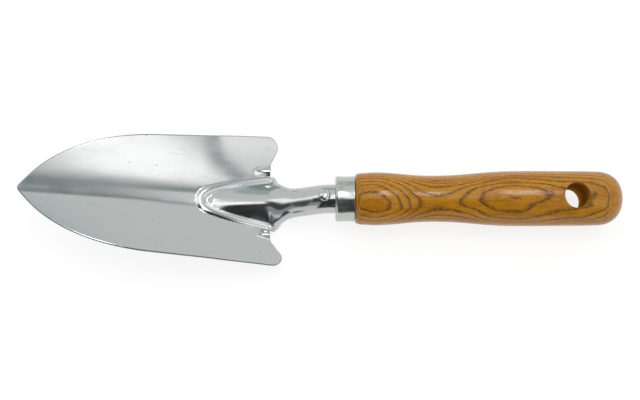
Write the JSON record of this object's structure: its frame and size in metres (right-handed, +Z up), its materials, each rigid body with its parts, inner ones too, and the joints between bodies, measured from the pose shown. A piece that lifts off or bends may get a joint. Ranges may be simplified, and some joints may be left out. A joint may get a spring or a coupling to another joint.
{
  "type": "transplanting trowel",
  "caption": "Hand trowel with a narrow pointed dished blade, pressed loop and rolled neck, riveted through a ferrule to a turned wooden handle with a hanging hole.",
  "frame": {"origin": "middle of the overall length and width, at the lowest level that the tool reaches when its handle is level", "axes": "+X along the handle towards its rounded end, the blade's tip at -X; +Z up, out of the blade's hollow side; +Y across the blade"},
  "size_m": [0.3, 0.0682, 0.0389],
  "materials": {
    "polished_stainless": "polished",
    "bright_ferrule": "polished",
    "rivet_steel": "satin",
    "tang_steel": "plain",
    "lacquered_wood": "clear lacquer, semi-gloss"
  },
  "bodies": {
    "root": {"blade": "polished_stainless", "tang": "tang_steel", "rivet": "rivet_steel", "ferrule": "bright_ferrule", "handle": "lacquered_wood"}
  },
  "joints": []
}
